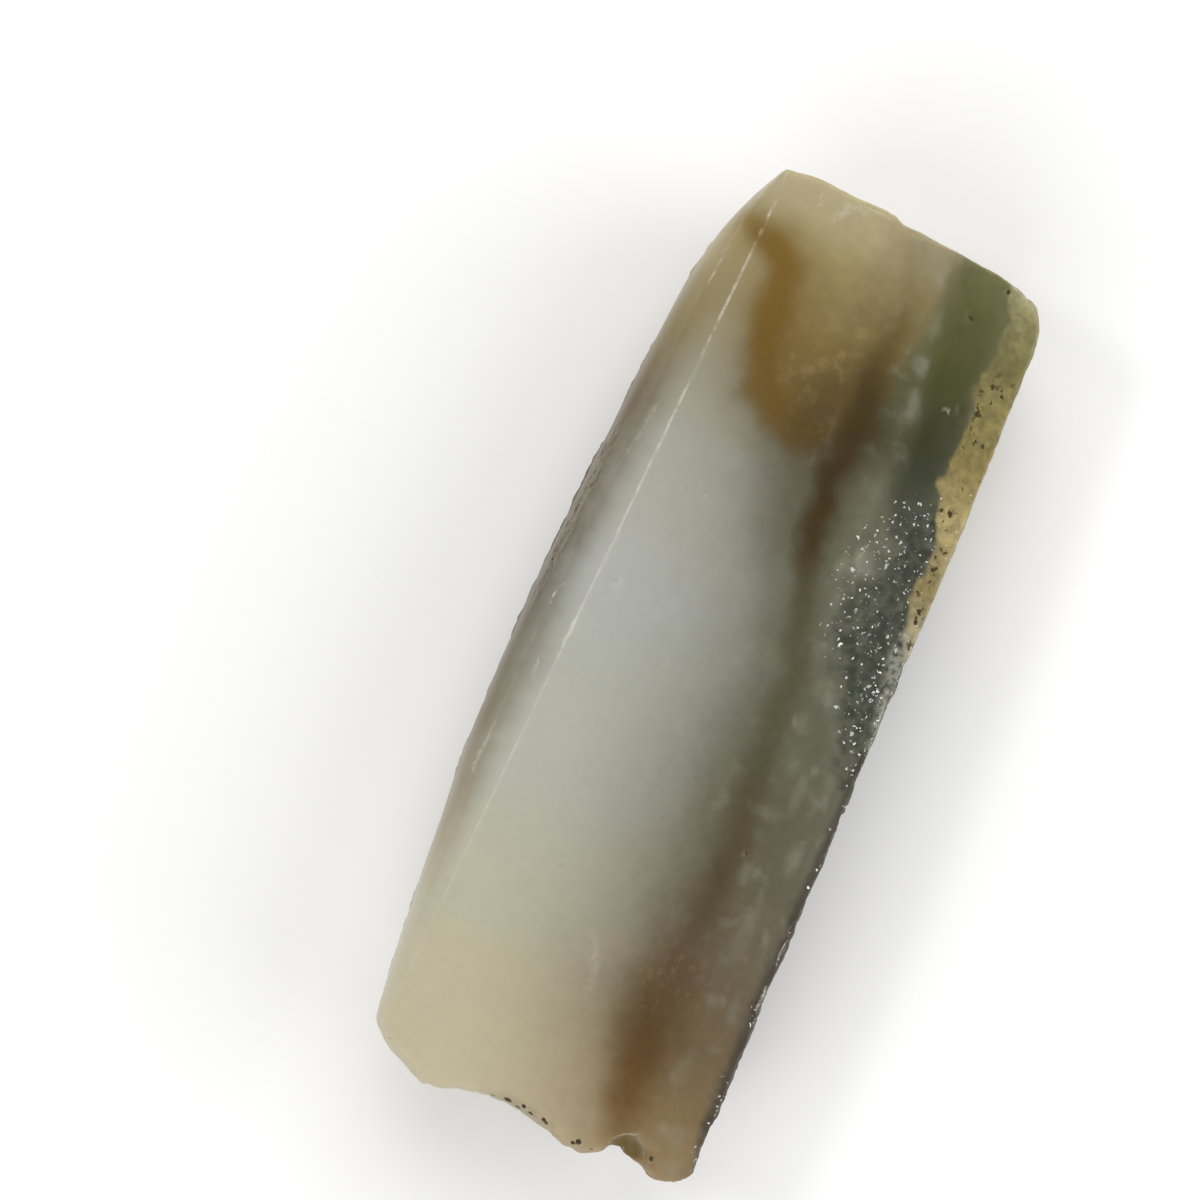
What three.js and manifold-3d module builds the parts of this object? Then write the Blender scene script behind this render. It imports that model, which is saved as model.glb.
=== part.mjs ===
// A raw jade stone: one natural solid, a long block with a flat sawn base, a gently crowned main
// face, a bevel along its +Y side, rough natural skin on its -Y side and two broken ends.
// Millimetres, +X along the stone, +Z out of the main face, origin on the base under its middle.
import * as THREE from "three";
import { mergeVertices } from "three/addons/utils/BufferGeometryUtils.js";
import Module from "manifold-3d";

// Driving dimensions
const THICKNESS = 22; // base to the highest point of the main face
const CROWN_Y = 3; // the main face is highest along this line
const CROWN_ACROSS = 0.0066; // drop per square millimetre away from that line
const CROWN_ALONG = 0.0006; // drop per square millimetre towards the ends
const RIDGE_Y = 12.05; // the ridge between main face and bevel, where it crosses x = 0
const RIDGE_SLOPE = -0.047; // the ridge drifts towards the middle as x grows
const FACE_WAVE = 0.12; // low swells left on the main face
const SCALLOP_SLANT = 0.55; // the hollows of a break run down the face at this slope

// Grid of the block before it is shaped
const CELLS_ALONG = 40;
const CELLS_ACROSS = 24;
const CELLS_UP = 10;

// The plan of the stone, seen from above, as four edges that meet at its corners.
// Each runs through the points that turn it.
const PLAN = {
  // from the -X end to the +X end
  bevelSide: [
    [-41, 15],
    [-36.5, 15.55],
    [-24.6, 16.4],
    [-12, 17.15],
    [5.7, 16.7],
    [21.5, 15.75],
    [31.1, 15],
    [37.5, 13.85],
    [41, 12.5],
    [43, 11.55],
    [44.1, 10.7],
  ],
  skinSide: [
    [-43.5, -17.05],
    [-40.4, -17.2],
    [-20, -17.1],
    [4, -17.1],
    [22, -17.05],
    [31, -16.9],
    [38, -16.8],
    [40.4, -16.25],
    [41.5, -15.4],
  ],
  // from the -Y side to the +Y side
  brokenEnd: [
    [-43.5, -17.05],
    [-44.5, -16.1],
    [-44.75, -14.8],
    [-44.3, -12.9],
    [-43.5, -11.4],
    [-43.3, -9.4],
    [-44.6, -7.4],
    [-44.75, -5.1],
    [-43.7, -1.8],
    [-43.2, 1.8],
    [-43.6, 5.6],
    [-44.6, 8.7],
    [-43.5, 11],
    [-42.6, 13.2],
    [-41, 15],
  ],
  plainEnd: [
    [41.5, -15.4],
    [42.5, -12.8],
    [43, -9],
    [43.45, -5],
    [43.6, -3.2],
    [43.5, -1.2],
    [44.15, 0.2],
    [44.4, 4.4],
    [44.6, 8.7],
    [44.1, 10.7],
  ],
};

// The edges of the two ends at the foot of the stone. The broken end leans back under the stone.
const FOOT = {
  brokenEnd: [
    [-38.6, -16.2],
    [-39.8, -13.2],
    [-41.2, -8.4],
    [-40.3, -3.6],
    [-38.9, 0.9],
    [-39.6, 5.2],
    [-40.9, 9.3],
    [-39.7, 12.4],
    [-37.4, 14.2],
  ],
  plainEnd: [
    [40.4, -15.2],
    [41.6, -11.6],
    [41.2, -8.2],
    [42.2, -4.9],
    [43.3, -1.4],
    [42.4, 1.6],
    [41, 5.4],
    [42, 10.2],
  ],
};

// How late the foot's edge takes over on the way down: 1 is steadily, 2 is mostly near the foot.
const FOOT_LATE = { brokenEnd: 2, plainEnd: 1.2 };

// How far each side stands back from the plan at a share of the height: [share, millimetres].
const STAND_BACK = {
  bevelSide: [
    [0, 1.5],
    [0.22, 0.5],
    [0.5, 0],
    [1, 0],
  ],
  skinSide: [
    [0, 0.9],
    [0.36, 0.3],
    [0.93, 0],
    [1, 0.35],
  ],
  brokenEnd: [
    [0, 0],
    [0.93, 0],
    [1, 0.6],
  ],
  plainEnd: [
    [0, 0.4],
    [0.2, 0],
    [0.93, 0],
    [1, 0.35],
  ],
};

// Hollows left where the stone broke, side by side with sharp crests between them.
// They fade out at the share of the height where the side turns smooth.
const SCALLOPS = {
  bevelSide: { depth: 0.9, pitch: 23, smoothFrom: 0.5 },
  skinSide: { depth: 0.8, pitch: 17, smoothFrom: 0.8 },
  brokenEnd: { depth: 2.6, pitch: 11, smoothFrom: 0.95 },
  plainEnd: { depth: 1.2, pitch: 14, smoothFrom: 0.8 },
};

// The bevel: the share of its width that has been crossed, at a share of the height.
const BEVEL = [
  [0, 0],
  [0.62, 0],
  [0.8, 0.1],
  [0.87, 0.24],
  [0.93, 0.45],
  [1, 1],
];

// Heights of the rows of the grid: close together under the main face, where the bevel turns.
const ROWS = [0, 0.11, 0.24, 0.38, 0.52, 0.64, 0.74, 0.81, 0.87, 0.93, 1];

// Flat breaks: everything beyond the plane through a point, on the side that it faces, is gone.
const BREAKS = [
  { through: [-30, 15.4, 6.5], facing: [-0.14, 0.88, -0.46] },
  { through: [27, 13.9, 6], facing: [0.2, 0.9, -0.4] },
  { through: [-41.9, 6, 9], facing: [-0.88, 0.3, -0.36] },
  { through: [-41.2, -12, 8.4], facing: [-0.86, -0.35, -0.38] },
  { through: [42.7, 4, 7], facing: [0.9, 0.2, -0.38] },
  { through: [41.6, -12.4, 10], facing: [0.86, -0.48, -0.18] },
  { through: [10, -16.6, 3], facing: [0.05, -0.78, -0.62] },
];
const BREAK_SIZE = 60;

// Shell-shaped scars along the edges, each an ellipsoid that is cut away: centre, then radii.
const SCARS = [
  { at: [-45.4, -9.8, 19.5], radii: [2.9, 1.4, 5] }, // notch in the broken end
  { at: [-43.3, -10.7, 20.3], radii: [2, 1.9, 1.9] }, // the flake that came off beside it
  { at: [-25, -24, -2], radii: [17, 9.2, 11] }, // along the foot of the skin side
  { at: [29, -22.6, -3.5], radii: [12, 8, 10] },
  { at: [3, 24.6, -3], radii: [13, 9.8, 12] }, // along the foot of the bevel side
  { at: [-36, 23.5, 1.5], radii: [11, 9.3, 9] },
  { at: [52, -9, 0], radii: [11.5, 10, 9] }, // at the foot of the ends
  { at: [-49, 3, -1], radii: [11, 9.5, 8] },
  { at: [8.5, 18.5, 13.4], radii: [6.5, 2.1, 3.4] }, // chips below the bevel
  { at: [-1.5, 18, 15.6], radii: [3, 1.3, 2.2] },
];
const SCAR_CELLS = [22, 14];

const wasm = await Module();
wasm.setup();

// A function through [input, output] pairs, straight between them and level beyond its two ends.
function through(pairs) {
  const inputs = pairs.map(([input]) => input);
  const curve = new THREE.LinearInterpolant(
    inputs,
    pairs.map(([, output]) => output),
    1,
  );
  const last = inputs.length - 1;
  return (input) => curve.evaluate(THREE.MathUtils.clamp(input, inputs[0], inputs[last]))[0];
}

function planEdge(points) {
  return new THREE.SplineCurve(points.map(([x, y]) => new THREE.Vector2(x, y)));
}

const edges = {
  bevelSide: planEdge(PLAN.bevelSide),
  skinSide: planEdge(PLAN.skinSide),
  brokenEnd: planEdge(PLAN.brokenEnd),
  plainEnd: planEdge(PLAN.plainEnd),
};
const footEdges = {
  brokenEnd: planEdge(FOOT.brokenEnd),
  plainEnd: planEdge(FOOT.plainEnd),
};
const standBack = {
  bevelSide: through(STAND_BACK.bevelSide),
  skinSide: through(STAND_BACK.skinSide),
  brokenEnd: through(STAND_BACK.brokenEnd),
  plainEnd: through(STAND_BACK.plainEnd),
};
const bevelShare = through(BEVEL);

// A point of the plan: the patch stretched between the four edges, for along and across in 0..1.
function planPoint(along, across) {
  const sawn = edges.skinSide.getPointAt(along);
  const bevel = edges.bevelSide.getPointAt(along);
  const broken = edges.brokenEnd.getPointAt(across);
  const plain = edges.plainEnd.getPointAt(across);
  const corners = new THREE.Vector2()
    .addScaledVector(edges.skinSide.getPoint(0), (1 - along) * (1 - across))
    .addScaledVector(edges.skinSide.getPoint(1), along * (1 - across))
    .addScaledVector(edges.bevelSide.getPoint(0), (1 - along) * across)
    .addScaledVector(edges.bevelSide.getPoint(1), along * across);
  return new THREE.Vector2()
    .addScaledVector(sawn, 1 - across)
    .addScaledVector(bevel, across)
    .addScaledVector(broken, 1 - along)
    .addScaledVector(plain, along)
    .sub(corners);
}

function mainFaceHeight(x, y) {
  const crown = CROWN_ACROSS * (y - CROWN_Y) ** 2 + CROWN_ALONG * x ** 2;
  const swell = FACE_WAVE * Math.sin(x / 9.5 + 0.4) * Math.cos(y / 7 - 0.6);
  return THICKNESS - crown + swell;
}

// Depth of the hollows of one side at a place along it and a share of the height.
function scallop({ depth, pitch, smoothFrom }, place, share) {
  const slanted = place + SCALLOP_SLANT * share * THICKNESS;
  const fade = THREE.MathUtils.smoothstep(smoothFrom - share, 0, smoothFrom / 2);
  return depth * fade * Math.abs(Math.sin((Math.PI * slanted) / pitch));
}

// How far the foot of an end lies towards +X from its plan, at a place across and a share of the height.
function footShift(end, across, share) {
  const shift = footEdges[end].getPointAt(across).x - edges[end].getPointAt(across).x;
  return shift * (1 - share) ** FOOT_LATE[end];
}

// Where a grid point of the block ends up: along and across in 0..1, share is its share of the height.
function shapedPoint(along, across, share) {
  const plan = planPoint(along, across);
  const bevelWidth = edges.bevelSide.getPointAt(along).y - (RIDGE_Y + RIDGE_SLOPE * plan.x);
  const fromBevelSide =
    standBack.bevelSide(share) +
    scallop(SCALLOPS.bevelSide, plan.x, share) +
    Math.max(bevelWidth, 0) * bevelShare(share);
  const fromSkinSide = standBack.skinSide(share) + scallop(SCALLOPS.skinSide, plan.x, share);
  const fromBrokenEnd =
    footShift("brokenEnd", across, share) +
    standBack.brokenEnd(share) +
    scallop(SCALLOPS.brokenEnd, plan.y, share);
  const fromPlainEnd =
    standBack.plainEnd(share) +
    scallop(SCALLOPS.plainEnd, plan.y, share) -
    footShift("plainEnd", across, share);
  const x = plan.x + (1 - along) * fromBrokenEnd - along * fromPlainEnd;
  const y = plan.y + (1 - across) * fromSkinSide - across * fromBevelSide;
  return new THREE.Vector3(x, y, share * mainFaceHeight(x, y));
}

// A block of grid cells whose every point is moved to its place on the stone.
function shapedBlock() {
  const block = new THREE.BoxGeometry(1, 1, 1, CELLS_ALONG, CELLS_ACROSS, CELLS_UP);
  const positions = block.getAttribute("position");
  const point = new THREE.Vector3();
  for (let i = 0; i < positions.count; i++) {
    point.fromBufferAttribute(positions, i).addScalar(0.5);
    const share = ROWS[Math.round(point.z * CELLS_UP)];
    const shaped = shapedPoint(point.x, point.y, share);
    positions.setXYZ(i, shaped.x, shaped.y, shaped.z);
  }
  return block;
}

// The box of stone beyond a flat break.
function broken({ through: point, facing }) {
  const outward = new THREE.Vector3(...facing).normalize();
  const turn = new THREE.Quaternion().setFromUnitVectors(new THREE.Vector3(0, 0, 1), outward);
  const middle = new THREE.Vector3(...point).addScaledVector(outward, BREAK_SIZE / 2);
  return new THREE.BoxGeometry(2 * BREAK_SIZE, 2 * BREAK_SIZE, BREAK_SIZE)
    .applyQuaternion(turn)
    .translate(middle.x, middle.y, middle.z);
}

function scar({ at, radii }) {
  return new THREE.SphereGeometry(1, ...SCAR_CELLS).scale(...radii).translate(...at);
}

function toSolid(geometry) {
  const bare = geometry.clone();
  bare.deleteAttribute("normal");
  bare.deleteAttribute("uv");
  const merged = mergeVertices(bare, 1e-4);
  return new wasm.Manifold(
    new wasm.Mesh({
      numProp: 3,
      vertProperties: new Float32Array(merged.getAttribute("position").array),
      triVerts: new Uint32Array(merged.index.array),
    }),
  );
}

function toGeometry(solid) {
  const mesh = solid.getMesh();
  const geometry = new THREE.BufferGeometry()
    .setAttribute("position", new THREE.BufferAttribute(mesh.vertProperties, 3))
    .setIndex(new THREE.BufferAttribute(mesh.triVerts, 1));
  geometry.computeVertexNormals();
  return geometry;
}

// Moves the stone so that the middle of its box is over the origin and its base is at z = 0.
function centred(geometry) {
  geometry.computeBoundingBox();
  const { min, max } = geometry.boundingBox;
  return geometry.translate(-(min.x + max.x) / 2, -(min.y + max.y) / 2, -min.z);
}

function jadeStone() {
  let solid = toSolid(shapedBlock());
  for (const cut of BREAKS) solid = solid.subtract(toSolid(broken(cut)));
  for (const cut of SCARS) solid = solid.subtract(toSolid(scar(cut)));
  const material = new THREE.MeshStandardMaterial({
    color: 0xa9aa98,
    roughness: 0.35,
    metalness: 0,
  });
  const mesh = new THREE.Mesh(centred(toGeometry(solid)), material);
  mesh.name = "jade_stone";
  return mesh;
}

const group = new THREE.Group();
group.add(jadeStone());

export default group;
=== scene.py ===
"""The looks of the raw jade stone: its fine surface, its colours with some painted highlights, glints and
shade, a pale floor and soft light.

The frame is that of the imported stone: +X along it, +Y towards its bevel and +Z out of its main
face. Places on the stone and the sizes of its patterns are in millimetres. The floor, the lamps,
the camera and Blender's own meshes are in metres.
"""
import math

import bmesh
import bpy
import numpy as np
from mathutils import Matrix, Vector, kdtree, noise
from mathutils.bvhtree import BVHTree


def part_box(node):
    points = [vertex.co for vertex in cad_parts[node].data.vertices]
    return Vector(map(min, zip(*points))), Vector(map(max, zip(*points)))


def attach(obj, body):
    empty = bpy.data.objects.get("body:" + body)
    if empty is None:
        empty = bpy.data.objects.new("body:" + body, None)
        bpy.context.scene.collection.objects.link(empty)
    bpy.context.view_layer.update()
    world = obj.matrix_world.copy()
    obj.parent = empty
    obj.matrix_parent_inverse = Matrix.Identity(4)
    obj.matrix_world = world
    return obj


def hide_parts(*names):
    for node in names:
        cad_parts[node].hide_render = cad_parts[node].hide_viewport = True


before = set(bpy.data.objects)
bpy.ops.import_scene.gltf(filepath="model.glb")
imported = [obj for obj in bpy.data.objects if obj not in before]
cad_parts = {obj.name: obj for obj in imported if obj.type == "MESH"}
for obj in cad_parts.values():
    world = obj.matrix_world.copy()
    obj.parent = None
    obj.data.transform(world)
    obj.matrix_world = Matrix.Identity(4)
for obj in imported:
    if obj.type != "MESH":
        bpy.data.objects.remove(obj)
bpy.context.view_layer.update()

NODE = "jade_stone"
MM = 0.001

# The fine mesh has cells of this size
VOXEL = 0.52
# a crest is an edge where the solid bends more than this, and points this far apart mark it
CREST_ANGLE = math.radians(16)
CREST_STEP = 0.2
# cells this near to a crest are halved, and this near to the crest of the worn ridge halved again
FINE_CREST = 0.7
FINEST_RIDGE = 0.35
# this far from a crest and further, nothing holds the smoothing back
SOFT_CREST = 1.6
SMOOTH_ROUNDS = 30
# whatever is lower than this is the base
BASE_TOP = 0.02
# rays down onto the stone start from this height
HIGH_ABOVE = 100

# Heights and depths of the fine surface
SWELL_HEIGHT = 0.05
RIPPLE_HEIGHT = 0.008
HACKLE_HEIGHT = 0.8
HACKLE_LEVEL = 0.85
GRIT_HEIGHT = 0.14
GRAIN_SINK = 0.08
GRAIN_FACET = 0.2
RIND_GRIT = 0.07
RIND_LUMPS = 0.08
RIND_SINK = 0.02
SCUFF_HEIGHT = 0.09
PIT_DEPTH = 0.2
DENT_DEPTH = 0.12
STEP_HEIGHT = 0.06
SMALL_NICK = 0.05
LARGE_NICK = 0.12
ROUGH_NICK = 0.2
LIP_CHIP = 0.14

# Where things lie on the stone, from its middle. An edge is a list of (x, y) points, a stroke
# is a list of (x, y, half width, strength), and what varies along or across is (place, value).
RIDGE_Y = 12.05
RIDGE_SLOPE = -0.047
MAIN_FACE_Z = 22.0
# below this height the layers lie further towards -X and -Y, by this much for each millimetre
LAYERS_DIP_Z = 18.5
LAYERS_DIP_X = 0.25
LAYERS_DIP_Y = 0.4
# skin and grain lie further towards +X below the main face, by this much for each millimetre
SKIN_SLANT = 0.35
# the edge of the yellow skin, the rind
RIND_EDGE = [
    (3, -17.4), (5, -16.5), (8, -15.8), (12, -15.0), (15, -15.0), (17, -15.4), (20, -14.3),
    (22, -13.5), (26, -13.3), (30, -13.6), (31.5, -12.9), (34, -13.3), (38, -13.2), (40, -12.8),
    (42, -12.4), (44, -12.2),
]
# the edge of the broken crystal grain
GRAIN_EDGE = [
    (-42, -16.6), (-8, -16.3), (-3, -15.0), (0, -12.8), (3, -11.2), (7, -9.8), (11, -10.0),
    (15, -10.9), (18, -10.8), (20, -12.4), (24, -16.4), (44, -16.9),
]
# the painted glints of bright crystal faces reach further in than the broken grain does
GLINTS_EDGE = [
    (-42, -16.5), (-8, -16.1), (-3, -15.2), (0, -12.9), (4, -10.4), (9, -8.0), (13, -6.8),
    (17, -7.6), (20, -10.0), (22, -13.0), (24, -16.4), (44, -16.9),
]
# the edge of the brown cap, with the cap on its left
CAP_EDGE = [
    (39.4, 16.0), (38.5, 11.6), (37.6, 9.7), (35.6, 8.4), (31.5, 7.8), (28.0, 7.0), (25.2, 5.8),
    (23.2, 3.8), (22.0, 1.4), (21.8, -1.4), (23.2, -3.6), (26.2, -5.0), (31.0, -5.8), (37.0, -7.0),
    (47.0, -7.5),
]
# the outer edge of the bevel
BRIM = [
    (-40.5, 14.4), (-35, 15.2), (-30, 15.8), (-20, 16.5), (-12, 17.0), (-4, 17.05), (5, 16.75),
    (15, 16.05), (25, 15.3), (35, 14.2), (38, 13.2), (44.3, 10.3),
]
# how far in from it the stone is darker: partly its own brown edge and partly painted shade
BRIM_WIDTH = [(-35, 2.0), (-28, 2.4), (-22, 3.2), (-14, 4.2), (-6, 5.2), (6, 4.8), (44, 4.8)]
# the brown vein, from end to end
VEIN = [
    (-42.5, -9.4, 1.0, 0.1), (-40.5, -9.2, 1.6, 0.55), (-38, -8.8, 2.1, 0.85), (-34, -8.3, 2.6, 0.95),
    (-28, -8.1, 2.9, 0.9), (-23, -8.8, 2.0, 0.75), (-17, -8.8, 1.6, 0.92), (-10, -8.5, 1.5, 0.95),
    (-4, -8.2, 1.4, 0.85), (2, -7.9, 1.3, 0.75), (7, -6.7, 1.5, 0.8), (11, -5.2, 1.6, 0.9),
    (15, -4.4, 1.9, 1.0), (20, -4.0, 1.9, 1.0), (24.5, -4.8, 2.2, 1.0), (30, -4.1, 1.5, 0.9),
    (34, -4.2, 1.2, 0.65), (37, -4.6, 1.1, 0.35), (40, -3.3, 0.8, 0.3), (44, -2.6, 0.8, 0.3),
]
# the faint brown that spreads from the vein towards the middle
VEIN_HALO = [
    (6, -4.2, 2.2, 0.12), (11, -2.6, 2.9, 0.25), (16, -1.2, 3.4, 0.36), (20, -0.6, 3.6, 0.38),
    (24, -1.2, 3.0, 0.36), (27, -0.8, 2.4, 0.32), (29, -1.2, 1.8, 0.05),
]
# brown seen in the hollow that a flake left by the end
POCKET = [
    (-43.4, -9.4, 0.8, 0.9), (-42.2, -10.0, 0.9, 1.0), (-42.5, -11.2, 0.9, 1.0), (-42.8, -12.8, 0.8, 0.4),
]
# the brighter ochre inside the edge of the cap
OCHRE = [
    (38.6, 11.8, 0.9, 0.6), (38.2, 10.2, 1.3, 0.9), (37.5, 8.6, 1.6, 1.0), (35.6, 7.0, 1.8, 1.0),
    (32.5, 6.5, 1.8, 1.0), (29.5, 6.3, 1.7, 1.0), (27, 5.8, 1.6, 0.95), (24.7, 4.8, 1.7, 0.95),
    (23.4, 3.1, 1.7, 0.95), (22.9, 1.2, 1.4, 0.85), (22.5, -0.8, 1.2, 0.6),
]
# the green band next to the skin
GREEN = [
    (19, -11.8, 1.8, 0.7), (24, -11.6, 2.4, 1.0), (30, -11.2, 2.6, 1.0), (36, -10.8, 2.9, 1.0),
    (41, -10.5, 3.1, 0.95), (45, -10.3, 3.2, 0.9),
]
# pale clouds in the stone: x, y, half length, half breadth, strength
CLOUDS = [
    (28.6, -8.2, 2.1, 1.0, 0.55), (32.6, -7.9, 1.3, 0.8, 0.5), (36.2, -7.4, 1.7, 0.6, 0.4),
    (40.2, -6.2, 1.5, 0.7, 0.35), (21.0, -8.6, 1.8, 1.0, 0.25), (18.2, -8.2, 1.5, 0.9, 0.25),
    (14.2, -9.8, 1.5, 1.0, 0.95), (13.6, -8.2, 1.0, 0.6, 0.5), (10.6, -8.9, 1.2, 0.7, 0.3),
    (2.2, -10.6, 1.3, 0.9, 0.25), (-1.0, -10.2, 1.2, 0.8, 0.35), (-0.9, -9.7, 0.3, 0.25, 0.6),
    (-4.5, -11.0, 1.4, 0.9, 0.2), (-7.4, -12.4, 2.0, 0.6, 0.35), (-9.8, -10.2, 0.7, 1.6, 0.3),
    (-13.0, -14.2, 2.0, 0.7, 0.4), (-5.5, -14.6, 1.4, 0.6, 0.2), (-20.0, -12.9, 3.0, 1.0, 0.25),
    (-27.8, -14.7, 1.7, 0.7, 0.3), (-34.0, -12.6, 2.4, 0.9, 0.2), (-40.0, -14.2, 2.0, 1.0, 0.3),
    (-43.0, -14.8, 1.2, 1.2, 0.3), (-39.4, -13.1, 0.5, 0.5, 0.5),
]
# the scuffed patch
SCUFF = [(-29.0, -5.4, 2.4, 0.7), (-26.6, -7.6, 3.2, 1.0), (-26.4, -10.6, 2.4, 0.8)]
# pale marks, partly the stone's own and partly painted light: painted highlights on lines of the bevel, on
# the ridge and on the step's upper edge, painted glints of crystals by the skin side, and its own chipped
# lip, flakes, flaky patches and specks
PALE_MARKS_AND_HIGHLIGHTS = [
    # painted highlights along facet edges and a groove on the bevel
    [(31.9, 12.85, 0.06, 0.3), (33.0, 12.72, 0.1, 1.0), (34.2, 12.6, 0.08, 0.6), (36.0, 12.5, 0.06, 0.2)],
    [(20.6, 12.75, 0.08, 0.45), (18.0, 13.1, 0.07, 0.4), (14.5, 13.8, 0.06, 0.3), (12.0, 14.2, 0.05, 0.2)],
    [(0.0, 14.75, 0.07, 0.6), (1.0, 14.75, 0.1, 0.9), (2.1, 14.4, 0.07, 0.6)],
    [(-5.0, 13.75, 0.1, 0.8), (-6.6, 13.6, 0.07, 0.5), (-7.6, 13.3, 0.06, 0.3)],
    [(-16.6, 15.4, 0.12, 0.4), (-15.2, 15.5, 0.2, 0.5), (-14.0, 15.3, 0.12, 0.4), (-11.6, 15.2, 0.1, 0.3)],
    [(-24.0, 13.6, 0.06, 0.2), (-20.0, 13.45, 0.1, 0.5), (-16.0, 13.2, 0.08, 0.4), (-9.0, 12.9, 0.06, 0.2)],
    # flakes by the broken +X end, the stone's own
    [(42.4, 6.2, 0.1, 0.6), (43.2, 6.55, 0.14, 1.0)],
    [(41.6, 4.6, 0.3, 0.3), (43.0, 3.8, 0.5, 0.45), (43.3, 2.2, 0.4, 0.3)],
    # the bevel's chipped lip, the stone's own
    [(1.5, 16.5, 0.35, 0.4), (5.0, 16.35, 0.5, 0.55), (11.0, 16.0, 0.45, 0.5), (18.0, 15.6, 0.3, 0.3)],
    # a pale rim round the hollow by the -X end
    [(-43.6, -8.75, 0.1, 0.4), (-42.2, -9.05, 0.13, 0.5), (-41.4, -9.9, 0.12, 0.5), (-41, -10.9, 0.08, 0.4)],
    # painted glints on the ridge
    [(-2.8, 12.35, 0.12, 0.9), (-2.3, 12.32, 0.12, 0.9)],
    [(-1.0, 12.25, 0.14, 1.0), (-0.6, 12.2, 0.14, 1.0)],
    # painted glints of crystals by the skin side
    [(-26.6, -16.55, 0.12, 0.6), (-25.2, -16.65, 0.2, 1.0), (-24.4, -16.55, 0.12, 0.7)],
    [(-22.2, -16.65, 0.08, 0.5), (-21, -16.7, 0.15, 0.9), (-19.8, -16.75, 0.1, 0.7)],
    # pale crystal grain along the skin side's edge, partly painted glints, and a speck in the green band
    [(-1, -16.8, 0.4, 0.3), (3, -16.6, 0.6, 0.4), (7.4, -15.9, 0.8, 0.45), (9.6, -15.7, 0.4, 0.2)],
    [(29.7, -11.5, 0.1, 0.7), (29.9, -11.35, 0.13, 0.8)],
    # a small pale chip by a dent, the stone's own
    [(4.05, 4.45, 0.1, 0.5), (4.3, 4.75, 0.12, 0.8)],
    # painted highlight on the upper edge of the step
    [(-31.8, -2.2, 0.3, 0.08), (-29, -1.6, 0.45, 0.16), (-26.9, -0.9, 0.45, 0.24), (-25.6, -0.2, 0.3, 0.16)],
]
# thin dark strips of painted shade where the main face turns down: on its skin side, where the dark broken
# grain adds its own colour, and by its broken end
DARK_GRAIN_AND_EDGE_SHADE = [
    # on the skin side: painted shade and the dark broken grain
    [
        (-41, -17.0, 0.4, 0.6), (-38, -16.6, 0.7, 0.9), (-34, -16.75, 0.5, 0.8), (-28, -16.55, 0.7, 0.95),
        (-14, -16.65, 0.6, 0.95), (-2, -16.8, 0.45, 0.85), (6, -17.0, 0.25, 0.5),
    ],
    # by the broken end: painted shade
    [(-42.6, 3.6, 0.4, 0.1), (-42.5, 1.0, 0.5, 0.26), (-42.9, -1.6, 0.5, 0.24), (-43.3, -3.4, 0.4, 0.1)],
]
# how strongly the painted highlight on the ridge's crest shows at a place along the stone
CREST_HIGHLIGHT_STRENGTH = [(-34, 0.0), (-22, 0.25), (-6, 0.35), (-3, 1.0), (41, 1.0), (43, 0.0)]
# a low step on the main face: pale above, dark below
STEP = [(-32.2, -2.5), (-29.4, -2.0), (-28.2, -1.85), (-27.2, -1.4), (-26.2, -1.0), (-25.2, -0.3)]
STEP_FADE = 2.0
# dark pits: x, y, radius
PITS = [
    (-42.75, 2.4, 0.26), (-42.6, 1.0, 0.42), (-42.8, 1.6, 0.26), (-42.85, -0.1, 0.3),
    (-42.5, -0.5, 0.2), (-42.9, -1.3, 0.28), (-43.2, -2.8, 0.34), (-42.95, -2.65, 0.24),
    (-43.9, -5.9, 0.24), (-43.6, -6.3, 0.28), (-43.8, -7.6, 0.18), (-42.6, -13.0, 0.24),
    (-41.6, 12.9, 0.15), (-15.4, -15.2, 0.16), (-13.9, -10.1, 0.14), (30.3, -12.45, 0.2),
    (41.7, -12.4, 0.2), (38.3, -10.2, 0.13), (12.6, -1.5, 0.12),
]
# small shallow dents in the polish: x, y, radius
DENTS = [(4.2, 4.7, 0.45), (4.2, 10.1, 0.5), (-21.2, 4.8, 0.3), (14.5, 5.8, 0.35), (-1.0, 3.3, 0.35)]


# ---------------------------------------------------------------- fields on arrays of points


def smoothstep(low, high, value):
    share = np.clip((value - low) / (high - low), 0, 1)
    return share * share * (3 - 2 * share)


def along_curve(points, x):
    xs, values = zip(*points)
    return np.interp(x, xs, values)


def fractal(points, size, shift=0.0, octaves=4):
    """Fractal noise of about -1 to 1 whose largest swells are size apart."""
    shifted = points / size + shift
    return np.array([noise.fractal(p, 1.0, 2.0, octaves) for p in shifted.tolist()])


def cells(points, size, shift=0.0):
    """Distance to the nearest and to the next cell centre of a random packing of that size."""
    found = [noise.voronoi(p)[0] for p in (points / size + shift).tolist()]
    return np.array([d[0] for d in found]), np.array([d[1] for d in found])


def segments(path, x, y):
    """For each stretch of the path: how far each place is from it, and where along it, 0 to 1."""
    for start, end in zip(path, path[1:]):
        run_x, run_y = end[0] - start[0], end[1] - start[1]
        share = ((x - start[0]) * run_x + (y - start[1]) * run_y) / (run_x**2 + run_y**2)
        share = np.clip(share, 0, 1)
        away = np.hypot(x - start[0] - share * run_x, y - start[1] - share * run_y)
        yield start, end, share, away


def stroke(path, x, y, soft=1.0):
    """How far a soft-edged stroke covers each place, from 0 to 1."""
    cover = np.zeros(len(x))
    for start, end, share, away in segments(path, x, y):
        width = start[2] + share * (end[2] - start[2])
        strength = start[3] + share * (end[3] - start[3])
        cover = np.maximum(cover, strength * smoothstep(1 + 0.7 * soft, 1 - 0.9 * soft, away / width))
    return cover


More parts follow.
